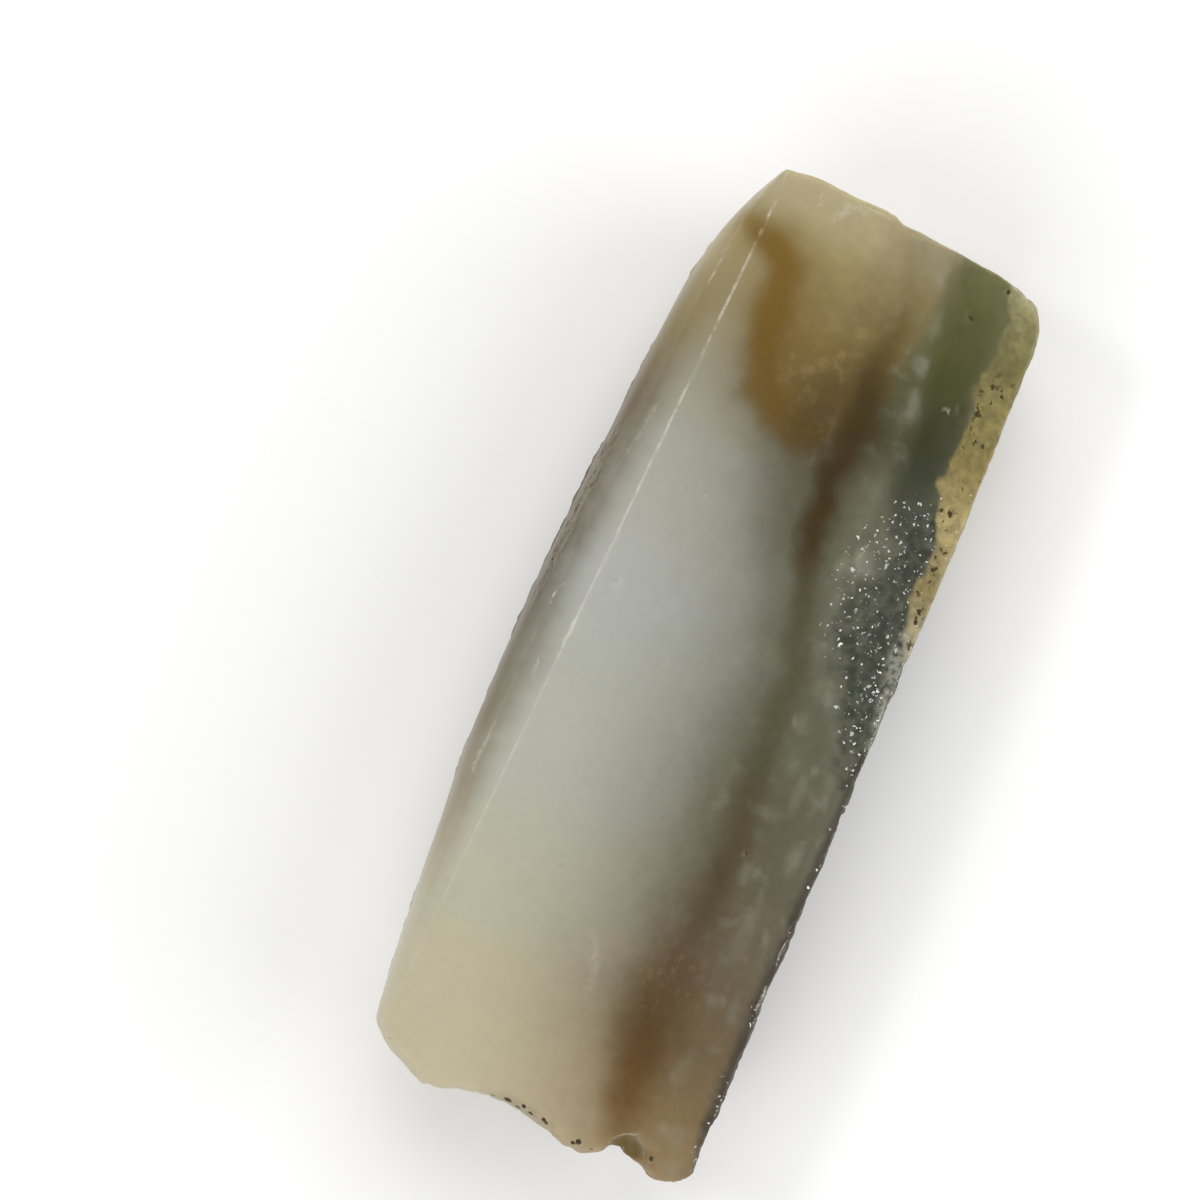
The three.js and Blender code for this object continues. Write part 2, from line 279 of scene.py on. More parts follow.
def strokes(paths, x, y, grow=1.0):
    """Several strokes at once, each grow times as wide as it says."""
    widened = [[(px, py, grow * width, strength) for px, py, width, strength in path] for path in paths]
    return np.maximum.reduce([stroke(path, x, y) for path in widened])


def side_of(path, x, y):
    """How far each place lies to the left of a path, or to its right where that is negative."""
    nearest = np.full(len(x), np.inf)
    side = np.zeros(len(x))
    for start, end, _, away in segments(path, x, y):
        run_x, run_y = end[0] - start[0], end[1] - start[1]
        left = (y - start[1]) * run_x - (x - start[0]) * run_y
        is_nearer = away < nearest
        side = np.where(is_nearer, np.copysign(away, left), side)
        nearest = np.where(is_nearer, away, nearest)
    return side


def spots(places, centres, grow):
    """1 inside round spots given as (x, y, z, radius), fading to 0 at grow times the radius."""
    cover = np.zeros(len(places))
    for *centre, radius in centres:
        away = np.linalg.norm(places - centre, axis=1) / radius
        cover = np.maximum(cover, smoothstep(grow, 0.4, away))
    return cover


def set_down(spots_from_above, tree):
    """Spots given as (x, y, radius) from above, as (x, y, z, radius) on the solid."""
    down = Vector((0, 0, -1))
    hits = [tree.ray_cast(Vector((x, y, HIGH_ABOVE)) * MM, down)[0] for x, y, _ in spots_from_above]
    return [(x, y, hit.z / MM, radius) for (x, y, radius), hit in zip(spots_from_above, hits) if hit]


# ---------------------------------------------------------------- the fine mesh


def merged_solid(node):
    solid = bmesh.new()
    solid.from_mesh(node.data)
    bmesh.ops.remove_doubles(solid, verts=solid.verts, dist=1e-7)
    return solid


def crest_tree(solid):
    """A tree of points along the sharp edges of the solid, in millimetres."""
    points = []
    for edge in solid.edges:
        if len(edge.link_faces) == 2 and edge.calc_face_angle() > CREST_ANGLE:
            a, b = (vertex.co / MM for vertex in edge.verts)
            steps = max(1, math.ceil((b - a).length / CREST_STEP))
            points += [a.lerp(b, i / steps) for i in range(steps + 1)]
    tree = kdtree.KDTree(len(points))
    for index, point in enumerate(points):
        tree.insert(point, index)
    tree.balance()
    return tree


def crest_distances(crests, points):
    return np.array([crests.find(p)[2] for p in points.tolist()])


def remeshed(solid):
    """The solid as a mesh of small even cells."""
    mesh = bpy.data.meshes.new("even")
    solid.to_mesh(mesh)
    holder = bpy.data.objects.new("even", mesh)
    bpy.context.scene.collection.objects.link(holder)
    remesh = holder.modifiers.new("remesh", "REMESH")
    remesh.mode = "VOXEL"
    remesh.voxel_size = VOXEL * MM
    depsgraph = bpy.context.evaluated_depsgraph_get()
    even = bpy.data.meshes.new_from_object(holder.evaluated_get(depsgraph))
    bpy.data.objects.remove(holder)
    return even


def halve_cells(mesh, is_wanted):
    """Halves the cells whose centres, in millimetres, is_wanted picks."""
    fine = bmesh.new()
    fine.from_mesh(mesh)
    faces = list(fine.faces)
    centres = np.array([face.calc_center_median() for face in faces]) / MM
    picked = is_wanted(centres)
    edges = {edge for face, is_picked in zip(faces, picked) if is_picked for edge in face.edges}
    bmesh.ops.subdivide_edges(fine, edges=list(edges), cuts=1, use_grid_fill=True)
    fine.to_mesh(mesh)
    fine.free()


def refine(mesh, crests, marks):
    """Halves the cells where the stone is sharp or rough, and again along the ridge and marks."""
    halve_cells(mesh, lambda at: (crest_distances(crests, at) < FINE_CREST) | (rough_places(at) > 0.2))
    halve_cells(mesh, lambda at: finest_places(at, crests, marks))


def from_ridge(points):
    """How far beyond the ridge each place is, across the stone."""
    return points[:, 1] - (RIDGE_Y + RIDGE_SLOPE * points[:, 0])


def on_top(points):
    """1 near the main face and 0 further down the sides."""
    return smoothstep(15, 17, points[:, 2])


def rough_places(points):
    """1 where the top is broken, scuffed or covered by skin, so that it needs a finer mesh."""
    x, y, _ = points.T
    skin = smoothstep(-0.8, 0, along_curve(RIND_EDGE, x) - y) * smoothstep(7, 8, x)
    grain = smoothstep(-1.5, 0, along_curve(GRAIN_EDGE, x) - y)
    end = smoothstep(-40.5, -41.5, x)
    scuff = stroke(SCUFF, x, y)
    lip = smoothstep(3.2, 3.8, from_ridge(points)) * smoothstep(-3, -1, x) * smoothstep(20, 18, x)
    return on_top(points) * np.maximum.reduce([skin, grain, end, scuff, lip])


def finest_places(points, crests, marks):
    x, y, _ = points.T
    is_ridge = (np.abs(from_ridge(points)) < 0.9) & (crest_distances(crests, points) < FINEST_RIDGE)
    step = stroke([(*place, 0.35, 1) for place in STEP], x, y)
    pale_marks_and_highlights = strokes(PALE_MARKS_AND_HIGHLIGHTS, x, y, 2.0)
    is_fine = is_ridge | (step > 0.05) | (pale_marks_and_highlights > 0.25)
    return ((on_top(points) > 0.5) & is_fine) | (spots(points, marks, 2.0) > 0.02)


def vertex_places(mesh):
    places = np.empty(len(mesh.vertices) * 3)
    mesh.vertices.foreach_get("co", places)
    return places.reshape(-1, 3) / MM


def vertex_normals(mesh):
    normals = np.empty(len(mesh.vertices) * 3)
    mesh.vertices.foreach_get("normal", normals)
    return normals.reshape(-1, 3)


def set_places(mesh, places):
    mesh.vertices.foreach_set("co", (places * MM).ravel())
    mesh.update()


def smoothed(mesh, values, weight, rounds):
    """Evens out values from vertex to vertex along the edges, as much as weight says."""
    ends = np.empty(len(mesh.edges) * 2, int)
    mesh.edges.foreach_get("vertices", ends)
    a, b = ends.reshape(-1, 2).T
    count = len(mesh.vertices)
    neighbours = np.bincount(a, minlength=count) + np.bincount(b, minlength=count)
    for _ in range(rounds):
        mean = np.stack(
            [
                np.bincount(a, column[b], count) + np.bincount(b, column[a], count)
                for column in values.T
            ],
            axis=1,
        )
        mean /= neighbours[:, None]
        values = values + 0.5 * weight[:, None] * (mean - values)
    return values


def rounded(mesh, places, weight):
    """Smooths the facets away, then gives back what the smoothing took off the whole shape."""
    once = smoothed(mesh, places, weight, SMOOTH_ROUNDS)
    return once + smoothed(mesh, places - once, weight, SMOOTH_ROUNDS)


def on_solid(places, tree):
    """Each place moved to the nearest point of the solid, and the way the solid faces there."""
    found = [tree.find_nearest(p) for p in (places * MM).tolist()]
    return np.array([hit[0] for hit in found]) / MM, np.array([hit[1] for hit in found])


def layer_places(places, wobble, fine_wobble):
    """Where each place lies in the layers of the stone, which dip under the main face."""
    under = np.maximum(LAYERS_DIP_Z - places[:, 2], 0)
    x = places[:, 0] + LAYERS_DIP_X * under + 0.6 * wobble
    y = places[:, 1] + LAYERS_DIP_Y * under - 0.4 * wobble + 0.25 * fine_wobble
    return x, y


def colour_layers(places, wobble, fine_wobble):
    """How far each colour layer covers each vertex, from 0 to 1."""
    x, y = layer_places(places, wobble, fine_wobble)
    shade = along_curve(SHADE_ACROSS, y + along_curve(SHADE_DRIFT, x))
    from_brim = (along_curve(BRIM, x) - y) / along_curve(BRIM_WIDTH, x)
    clouds = np.zeros(len(x))
    for at_x, at_y, half_length, half_breadth, strength in CLOUDS:
        away = np.hypot((x - at_x) / half_length, (y - at_y) / half_breadth) + 0.35 * fine_wobble
        clouds = np.maximum(clouds, strength * smoothstep(1.25, 0.35, away))
    return {
        "shade": shade,
        "brim_tone_and_shade": smoothstep(1, 0, from_brim) * smoothstep(8.5, 10.5, y),
        "cap": smoothstep(-1.3, 1.3, side_of(CAP_EDGE, x, y)),
        "vein": np.maximum(stroke(VEIN, x, y), stroke(VEIN_HALO, x, y)),
        "pocket": stroke(POCKET, *places.T[:2], 0.5) * smoothstep(8, 12, places[:, 2]),
        "ochre": 0.6 * stroke(OCHRE, x, y, 0.9) + 0.4 * strokes([OCHRE], x, y, 1.7),
        "green": stroke(GREEN, x, y, 0.75),
        "clouds": clouds,
    }


def surface_masks(places, facing, pits, wobble, fine_wobble):
    """How far each kind of surface covers each vertex, from 0 to 1."""
    x, y, z = places.T
    polished_top = smoothstep(0.3, 0.6, facing[:, 2])
    polished_bevel = smoothstep(0.4, 0.7, facing[:, 1]) * smoothstep(11.5, 14, z + 1.5 * wobble)
    polish = np.maximum(polished_top, polished_bevel)
    slanted = x - SKIN_SLANT * (MAIN_FACE_Z - z)
    rind_depth = along_curve(RIND_EDGE, slanted) - y + 0.5 * fine_wobble + 0.25 * wobble
    rind = smoothstep(-0.2, 0.25, rind_depth) * smoothstep(5, 8, slanted + 1.2 * wobble)
    rind = rind * smoothstep(1.0, 3.0, z + 2 * wobble)
    grain_depth = along_curve(GRAIN_EDGE, slanted) - y + 1.2 * wobble + 0.8 * fine_wobble
    grain = smoothstep(-1.4, 2.0, grain_depth) * (1 - rind)
    glints_depth = along_curve(GLINTS_EDGE, slanted) - y + 1.2 * wobble
    glints = smoothstep(-1.0, 3.0, glints_depth) * (1 - 0.75 * rind)
    base = smoothstep(-0.9, -0.97, facing[:, 2])
    polish = polish * (1 - rind) * (1 - grain) * (1 - base)
    return {
        "polish": polish,
        "rind": rind * (1 - base),
        "rind_rim": rind * smoothstep(2.2, 0.6, rind_depth) * on_top(places),
        "grain": grain * (1 - base),
        "glints": glints * (1 - base),
        "scuff": stroke(SCUFF, x, y) * polish,
        "base": base,
        "pits": spots(places, pits, 1.4),
        "pale_marks_and_highlights": strokes(PALE_MARKS_AND_HIGHLIGHTS, x, y) * smoothstep(16.5, 18, z),
        "grain_and_edge_shade": strokes(DARK_GRAIN_AND_EDGE_SHADE, x, y) * on_top(places),
    }


def crest_highlight_mask(places, crest_distance):
    """1 on the crest of the ridge, where its highlight is painted."""
    is_ridge = smoothstep(1.0, 0.7, np.abs(from_ridge(places))) * on_top(places)
    near = smoothstep(0.22, 0.05, crest_distance)
    return is_ridge * near * along_curve(CREST_HIGHLIGHT_STRENGTH, places[:, 0])


def relief(places, masks, dents, crest_distance):
    """Height of the fine surface over the smooth solid, in millimetres."""
    x, y, z = places.T
    rough = 1 - masks["polish"] - masks["base"]
    broken = rough * (1 - masks["rind"]) * (0.25 + 0.75 * smoothstep(20, 15, z))
    near, next_near = cells(places, 1.1)
    facets = np.clip(next_near - near, 0, 0.6)
    hackle = 1 - np.abs(fractal(places, 7.0, shift=11.3, octaves=5))
    swell = fractal(places, 10.0, shift=1.3)
    grit = fractal(places, 1.0, shift=4.4)
    lumps = fractal(places, 3.0, shift=8.4)
    height = SWELL_HEIGHT * swell * (1 - masks["base"])
    height += RIPPLE_HEIGHT * masks["polish"] * fractal(places, 2.2, shift=5.9)
    height += broken * (HACKLE_HEIGHT * (hackle - HACKLE_LEVEL) + GRIT_HEIGHT * grit)
    height -= masks["grain"] * (GRAIN_SINK + GRAIN_FACET * facets)
    height += masks["rind"] * (RIND_GRIT * grit + RIND_LUMPS * lumps - RIND_SINK)
    height += SCUFF_HEIGHT * masks["scuff"] * fractal(places, 0.9, shift=33.0, octaves=3)
    height += nicks(places, masks, crest_distance)
    height -= PIT_DEPTH * masks["pits"] + DENT_DEPTH * spots(places, dents, 1.2)
    return height + step_height(x, y, on_top(places))


def nicks(places, masks, crest_distance):
    """Small losses along the sharp edges: hardly any on the ridge, more where the stone broke."""
    rough = 1 - masks["polish"] - masks["base"]
    small = smoothstep(0.2, 0.7, fractal(places, 0.9, shift=9.2, octaves=3))
    small = small * smoothstep(0.35, 0.05, crest_distance)
    large = smoothstep(0.15, 0.7, fractal(places, 2.4, shift=19.2, octaves=3))
    large = large * smoothstep(0.9, 0.1, crest_distance)
    lip = smoothstep(3.4, 4.0, from_ridge(places)) * smoothstep(-3, 2, places[:, 0])
    lip = lip * smoothstep(19, 15, places[:, 0]) * on_top(places)
    chips = smoothstep(-0.1, 0.5, fractal(places, 0.9, shift=27.0, octaves=3))
    is_ridge = smoothstep(1.2, 0.8, np.abs(from_ridge(places))) * on_top(places)
    depth = SMALL_NICK * small + large * (LARGE_NICK + ROUGH_NICK * rough) * (1 - is_ridge)
    return -(depth + LIP_CHIP * lip * chips) * (1 - masks["base"])


def step_height(x, y, top):
    """A low step on the main face, which dies out at its ends and above."""
    side = side_of(STEP, x, y)
    ends = smoothstep(0, STEP_FADE, x - STEP[0][0]) * smoothstep(0, STEP_FADE, STEP[-1][0] - x)
    return STEP_HEIGHT * smoothstep(-0.12, 0.12, side) * smoothstep(2.4, 0.0, side) * ends * top


def store(mesh, name, values):
    attribute = mesh.attributes.new(name, "FLOAT", "POINT")
    attribute.data.foreach_set("value", values.astype(np.float32))


def make_stone(node):
    """The solid remeshed and smoothed, with its relief raised and its masks and layers stored."""
    solid = merged_solid(node)
    crests = crest_tree(solid)
    tree = BVHTree.FromBMesh(solid)
    mesh = remeshed(solid)
    solid.free()
    pits, dents = set_down(PITS, tree), set_down(DENTS, tree)
    refine(mesh, crests, pits + dents)
    places, facing = on_solid(vertex_places(mesh), tree)
    on_base = places[:, 2] < BASE_TOP
    crest_distance = crest_distances(crests, places)
    freedom = smoothstep(0.2, SOFT_CREST, crest_distance)
    places = rounded(mesh, places, freedom)
    places = smoothed(mesh, places, np.full(len(places), 0.5), 1)
    facing = smoothed(mesh, facing, np.ones(len(places)), 3)
    set_places(mesh, places)
    wobble = fractal(places, 5.0, shift=3.1)
    fine_wobble = fractal(places, 1.6, shift=7.7, octaves=3)
    masks = surface_masks(places, facing, pits, wobble, fine_wobble)
    # where the highlight along the ridge's crest is painted
    masks["highlight_on_crest"] = crest_highlight_mask(places, crest_distance)
    layers = colour_layers(places, wobble, fine_wobble)
    height = relief(places, masks, dents, crest_distance)
    places = places + height[:, None] * vertex_normals(mesh)
    places[:, 2] = np.maximum(places[:, 2], 0)
    places[on_base, 2] = 0
    set_places(mesh, places)
    for name, values in {**masks, **layers}.items():
        store(mesh, name, values)
    mesh.name = "jade_surface"
    mesh.shade_smooth()
    stone = bpy.data.objects.new("jade_surface", mesh)
    bpy.context.scene.collection.objects.link(stone)
    return stone


# ---------------------------------------------------------------- colours

# How the lamps show a stone of a given albedo: the polish adds a little white to every colour,
# and the brighter the stone, the more of its own light comes back out of it. It looks as bright
# as GLOSS_VEIL + albedo + GLOW_GAIN * albedo squared.
GLOSS_VEIL = 0.0125
GLOW_GAIN = 0.24
DARKEST = 0.002


def shown(red, green, blue):
    """The albedo that looks like this screen colour, 0 to 255, on the lit main face."""
    albedo = []
    for channel in (red / 255, green / 255, blue / 255):
        light = channel / 12.92 if channel < 0.04045 else ((channel + 0.055) / 1.055) ** 2.4
        own = max(light - GLOSS_VEIL, DARKEST)
        root = math.sqrt(1 + 4 * GLOW_GAIN * own)
        albedo.append((root - 1) / (2 * GLOW_GAIN))
    return (*albedo, 1.0)


# the stretches of x and of y that the profiles and ramps cover
ALONG = (-46.0, 46.0)
ACROSS = (-18.0, 18.0)

# the pale body and the darker stone on the -Y side, along the stone
BODY_ALONG = [
    (-44, shown(197, 186, 156)),
    (-34, shown(194, 186, 158)),
    (-16, shown(185, 185, 170)),
    (4, shown(181, 182, 174)),
    (18, shown(176, 175, 162)),
    (25, shown(164, 157, 134)),
    (31, shown(160, 145, 108)),
    (38, shown(170, 152, 110)),
    (45, shown(188, 172, 132)),
]
LOWER_ALONG = [
    (-44, shown(152, 130, 96)),
    (-38, shown(132, 112, 80)),
    (-32, shown(113, 97, 72)),
    (-24, shown(108, 97, 78)),
    (-10, shown(98, 94, 75)),
    (2, shown(100, 100, 81)),
    (12, shown(106, 105, 87)),
    (20, shown(103, 101, 82)),
    (26, shown(84, 82, 59)),
    (34, shown(100, 98, 68)),
    (45, shown(110, 106, 70)),
]
# how dark the body is at a place across the stone, from 0 to 1
SHADE_ACROSS = [
    (-8, 1.0), (-6, 0.94), (-4.5, 0.84), (-3, 0.69), (-1, 0.53), (1, 0.40), (3, 0.28), (6, 0.13),
    (9, 0.04), (12, 0.0),
]
# how far towards the bevel the shade has moved at a place along the stone
SHADE_DRIFT = [
    (-45, 4.6), (-42, 3.6), (-38, 2.2), (-33, 1.0), (-29, 0.3), (2, 0.0), (8, -0.9), (11, -1.6),
    (14, -2.8), (17, -3.5), (20, -4.2), (27, -5.0),
]
VEIN_ALONG = [
    (-42, shown(104, 76, 36)),
    (-37, shown(104, 76, 42)),
    (-31, shown(91, 70, 43)),
    (-24, shown(96, 80, 58)),
    (-19, shown(86, 75, 55)),
    (-4, shown(88, 82, 60)),
    (9, shown(86, 78, 54)),
    (14, shown(69, 57, 30)),
    (20, shown(68, 53, 18)),
    (28, shown(69, 57, 10)),
    (36, shown(102, 87, 44)),
    (44, shown(140, 128, 88)),
]
OCHRE_ALONG = [(22, shown(106, 85, 42)), (29, shown(112, 86, 22)), (40, shown(124, 95, 24))]
CAP_ALONG = [
    (22, shown(102, 84, 50)),
    (26, shown(112, 92, 52)),
    (30, shown(124, 104, 60)),
    (34, shown(140, 122, 78)),
    (38, shown(154, 139, 96)),
    (41, shown(170, 157, 119)),
    (45, shown(178, 165, 128)),
]
# how bright the cap is at a place across the stone
CAP_ACROSS = [(-9, 0.7), (-6, 0.74), (-3.5, 0.78), (-1, 0.86), (2, 1.0), (14, 1.02)]
GREEN_ALONG = [
    (18, shown(62, 66, 54)),
    (26, shown(54, 56, 32)),
    (32, shown(72, 73, 38)),
    (38, shown(90, 89, 48)),
    (45, shown(112, 109, 72)),
]
# how strongly the bevel's outer edge darkens along the stone, partly its own brown and partly painted shade
BRIM_STRENGTH = [
    (-46, 0.0), (-35, 0.1), (-28, 0.4), (-22, 0.8), (-16, 0.85), (-8, 0.95), (20, 1.0), (26, 0.9),
    (32.4, 0.8), (34.2, 0.3), (38, 0.2), (46, 0.0),
]
# the colour of that darker edge, partly its own brown and partly painted shade
BRIM_TONE_AND_SHADE_ALONG = [
    (-30, shown(164, 150, 116)),
    (-22, shown(142, 127, 92)),
    (-16, shown(124, 110, 80)),
    (-8, shown(104, 92, 62)),
    (2, shown(88, 79, 52)),
    (12, shown(97, 84, 56)),
    (20, shown(90, 73, 36)),
    (27, shown(122, 105, 58)),
    (36, shown(158, 142, 100)),
]
CLOUD_COLOUR = shown(146, 146, 128)
BLOTCH_COLOUR = shown(150, 130, 92)
SCUFF_COLOUR = shown(128, 110, 84)
GRAIN_AND_EDGE_SHADE_COLOUR = shown(66, 60, 48)
PALE_MARK_AND_HIGHLIGHT_COLOUR = shown(205, 201, 184)
PIT_COLOUR = shown(76, 62, 36)
POCKET_COLOUR = shown(108, 86, 10)
GRAIN_DARK = shown(42, 46, 38)
GRAIN_PALE = shown(88, 91, 78)
# the white of the painted glints
GLINT_COLOUR = (0.9, 0.9, 0.88, 1.0)
RIND_ALONG = [
    (6, shown(140, 134, 114)),
    (10, shown(164, 154, 122)),
    (14, shown(140, 126, 82)),
    (17, shown(150, 136, 96)),
    (20, shown(172, 156, 108)),
    (26, shown(138, 124, 76)),
    (32, shown(134, 123, 77)),
    (36, shown(121, 115, 71)),
    (40, shown(140, 134, 92)),
    (44, shown(176, 170, 134)),
]
RIND_HOLE = shown(66, 54, 26)
# the white of the painted highlight on the ridge
RIDGE_HIGHLIGHT_COLOUR = shown(226, 223, 210)
WISP_COLOUR = shown(116, 96, 58)
BASE_PALE = shown(170, 168, 152)


# ---------------------------------------------------------------- materials


class Nodes:
    """Short calls that add nodes to one material. A value is a number, a tuple or a socket."""

    def __init__(self, material):
        self.tree = material.node_tree

    def add(self, kind, inputs=(), **settings):
        node = self.tree.nodes.new(kind)
        for name, value in settings.items():
            setattr(node, name, value)
        for key, value in dict(inputs).items():
            self.put(node.inputs[key], value)
        return node

    def put(self, socket, value):
        if isinstance(value, bpy.types.NodeSocket):
            self.tree.links.new(value, socket)
        else:
            socket.default_value = value

    def math(self, operation, a, b=0.0, c=0.0):
        node = self.add("ShaderNodeMath", {0: a, 1: b, 2: c}, operation=operation)
        return node.outputs[0]

    def times(self, *values):
        result = values[0]
        for value in values[1:]:
            result = self.math("MULTIPLY", result, value)
        return result

    def total(self, *values):
        result = values[0]
        for value in values[1:]:
            result = self.math("ADD", result, value)
        return result

    def step(self, value, low, high):
        """0 where value is at low, 1 where it is at high, smooth between."""
        node = self.add(
            "ShaderNodeMapRange",
            {"Value": value, "From Min": low, "From Max": high},
            interpolation_type="SMOOTHSTEP",
        )
        return node.outputs["Result"]

    def attribute(self, name):
        return self.add("ShaderNodeAttribute", attribute_name=name).outputs["Fac"]

    def moved(self, vector, by, stretch=(1.0, 1.0, 1.0), turn=0.0):
        """The place shifted by so much on every axis, turned about Z, and stretched."""
        node = self.add(
            "ShaderNodeMapping",
            {"Vector": vector, "Location": (by, by, by), "Rotation": (0, 0, turn), "Scale": stretch},
        )
        return node.outputs[0]

    def noise(self, vector, size, detail=3.0, roughness=0.5, seed=0.0):
        """Noise of about 0 to 1 in swells of that size in millimetres."""
        node = self.add(
            "ShaderNodeTexNoise",
            {
                "Vector": self.moved(vector, seed),
                "Scale": 1 / size,
                "Detail": detail,
                "Roughness": roughness,
            },
        )
        return node.outputs["Fac"]

    def centred_noise(self, vector, size, amount, detail=3.0, seed=0.0):
        """Noise of about -amount to amount."""
        value = self.noise(vector, size, detail, seed=seed)
        return self.math("MULTIPLY", self.math("SUBTRACT", value, 0.5), 2 * amount)

    def profile(self, x, points, span=ALONG):
        """The value of a smooth curve through (x, value) points, for x within span."""
        low = min(value for _, value in points)
        high = max(value for _, value in points) + 1e-6
        share = self.add(
            "ShaderNodeMapRange", {"Value": x, "From Min": span[0], "From Max": span[1]}
        )
        curve = self.add("ShaderNodeFloatCurve", {"Value": share.outputs["Result"]})
        line = curve.mapping.curves[0]
        while len(line.points) < len(points):
            line.points.new(0.5, 0.5)
        for spot, (at, value) in zip(line.points, points):
            spot.location = ((at - span[0]) / (span[1] - span[0]), (value - low) / (high - low))
        curve.mapping.update()
        back = self.add(
            "ShaderNodeMapRange", {"Value": curve.outputs[0], "To Min": low, "To Max": high}
        )
        return back.outputs["Result"]

    def ramp(self, x, stops, span=ALONG):
        """The colour of a smooth ramp through (x, colour) stops, for x within span."""
        share = self.add(
            "ShaderNodeMapRange", {"Value": x, "From Min": span[0], "From Max": span[1]}
        )
        node = self.add("ShaderNodeValToRGB", {"Fac": share.outputs["Result"]})
        elements = node.color_ramp.elements
        while len(elements) < len(stops):
            elements.new(0.5)
        for element, (at, shade) in zip(elements, stops):
            element.position = (at - span[0]) / (span[1] - span[0])
            element.color = shade
        return node.outputs["Color"]

    def scaled(self, colour, by):
        node = self.add("ShaderNodeVectorMath", {0: colour, "Scale": by}, operation="SCALE")
        return node.outputs[0]

    def mix(self, factor, a, b):
        """Colour a where factor is 0, colour b where it is 1."""
        node = self.add("ShaderNodeMix", data_type="RGBA", clamp_factor=True)
        self.put(node.inputs["Factor"], factor)
        self.put(node.inputs[6], a)
        self.put(node.inputs[7], b)
        return node.outputs[2]


def stone_colour(n, place, axes):
    """Body, shade, the bevel's darker outer edge (partly painted shade), cap, ochre, vein, green band,
    pocket, clouds and wisps, laid over each other.
    """
    x, y, z = axes
    x_soft = n.total(x, n.centred_noise(place, 7.0, 1.2, seed=5.0))
    mottle = n.centred_noise(place, 2.6, 0.3, detail=4.0, seed=9.0)
    speck = n.centred_noise(place, 0.9, 0.35, seed=15.0)
    shade = n.total(n.attribute("shade"), n.times(mottle, 0.12))
    # the bevel's darker outer edge, partly painted shade
    strength = n.times(n.attribute("brim_tone_and_shade"), n.profile(x, BRIM_STRENGTH))
    result = n.mix(shade, n.ramp(x_soft, BODY_ALONG), n.ramp(x_soft, LOWER_ALONG))
    result = n.mix(strength, result, n.ramp(x_soft, BRIM_TONE_AND_SHADE_ALONG))
    result = n.mix(n.attribute("cap"), result, cap_colour(n, place, x_soft, y))
    result = patchy_layer(n, result, "ochre", mottle, n.ramp(x_soft, OCHRE_ALONG))
    result = patchy_layer(n, result, "vein", mottle, n.ramp(x_soft, VEIN_ALONG))
    result = patchy_layer(n, result, "green", mottle, n.ramp(x_soft, GREEN_ALONG))
    result = patchy_layer(n, result, "pocket", mottle, POCKET_COLOUR)
    result = with_clouds(n, result, place, speck)
    result = with_wisps(n, result, place, z)
    in_shade = n.step(shade, 0.2, 1.0)
    mottling = n.times(mottle, n.math("MULTIPLY_ADD", in_shade, 0.35, 0.2))
    specks = n.times(speck, n.math("MULTIPLY_ADD", in_shade, 0.25, 0.14))
    return n.scaled(result, n.total(1.0, mottling, specks))


def cap_colour(n, place, x, y):
    """Brown near its boundary and paler outwards, with small paler blotches."""
    plain = n.scaled(n.ramp(x, CAP_ALONG), n.profile(y, CAP_ACROSS, ACROSS))
    blotch = n.step(n.noise(place, 1.9, detail=5.0, roughness=0.65, seed=17.0), 0.48, 0.66)
    blotch = n.times(blotch, n.step(x, 44.0, 30.0), n.step(y, -3.5, -1.5), 0.5)
    return n.mix(blotch, plain, BLOTCH_COLOUR)


def patchy_layer(n, under, name, mottle, tint):
    """A colour layer over what is under it, more uneven the thinner it is."""
    cover = n.attribute(name)
    cover = n.times(cover, n.total(1.0, n.times(mottle, n.math("SUBTRACT", 1.3, cover))))
    return n.mix(cover, under, tint)


def with_clouds(n, under, place, speck):
    """The drawn clouds, and a faint scatter of small ones wherever the stone is dark."""
    drawn = n.times(n.attribute("clouds"), n.total(0.85, speck))
    scatter = n.step(n.noise(place, 2.4, detail=4.0, seed=21.0), 0.52, 0.75)
    plain = n.math("SUBTRACT", 1.0, n.math("MAXIMUM", n.attribute("vein"), n.attribute("green")))
    scatter = n.times(scatter, n.step(n.attribute("shade"), 0.85, 1.0), plain, 0.4)
    return n.mix(n.math("MAXIMUM", drawn, scatter), under, CLOUD_COLOUR)


def with_wisps(n, under, place, z):
    """Brown wisps that follow the layers, on the sides only."""
    stretched = n.moved(place, 0.0, (0.4, 1.0, 0.6), 0.2)
    wisp = n.step(n.noise(stretched, 5.0, detail=5.0, roughness=0.6, seed=111.0), 0.5, 0.68)
    return n.mix(n.times(wisp, n.step(z, 19.0, 12.0), 0.55), under, WISP_COLOUR)


